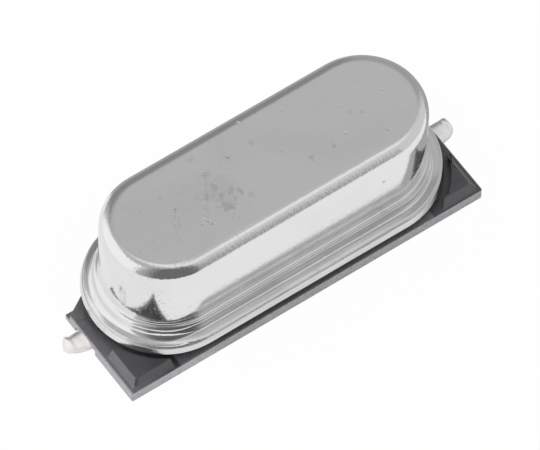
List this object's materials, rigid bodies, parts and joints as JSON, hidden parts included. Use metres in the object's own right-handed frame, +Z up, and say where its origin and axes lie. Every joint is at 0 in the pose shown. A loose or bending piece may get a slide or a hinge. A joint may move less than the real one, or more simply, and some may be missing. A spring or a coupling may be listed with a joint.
{
  "type": "quartz crystal unit",
  "caption": "Low-profile surface-mount quartz crystal unit: oblong metal can on a flanged header, dark moulded insulator and flattened end leads.",
  "frame": {"origin": "centre of the insulator's underside, at the board's surface", "axes": "+X along the length towards the right lead, +Y towards the clipped rear corners, +Z up from the board"},
  "size_m": [0.0128, 0.0046, 0.0039],
  "materials": {
    "can_metal": "satin bright plating",
    "header_metal": "satin plating",
    "tinned_metal": "bright tin plating, lightly wrinkled",
    "spring_metal": "plain plated strip",
    "plastic": "moulded, semi-matt",
    "seal_glass": "smooth, dark",
    "quartz": "lapped and polished",
    "film": "thin silver film",
    "silver_adhesive": "cured, dull"
  },
  "bodies": {
    "root": {"insulator": "plastic", "header": "header_metal", "glass_seal_left": "seal_glass", "glass_seal_right": "seal_glass", "lead_left": "tinned_metal", "lead_right": "tinned_metal", "can": "can_metal", "support_left": "spring_metal", "support_right": "spring_metal", "quartz_blank": "quartz", "electrode_top": "film", "electrode_bottom": "film", "adhesive_left": "silver_adhesive", "adhesive_right": "silver_adhesive"}
  },
  "joints": []
}
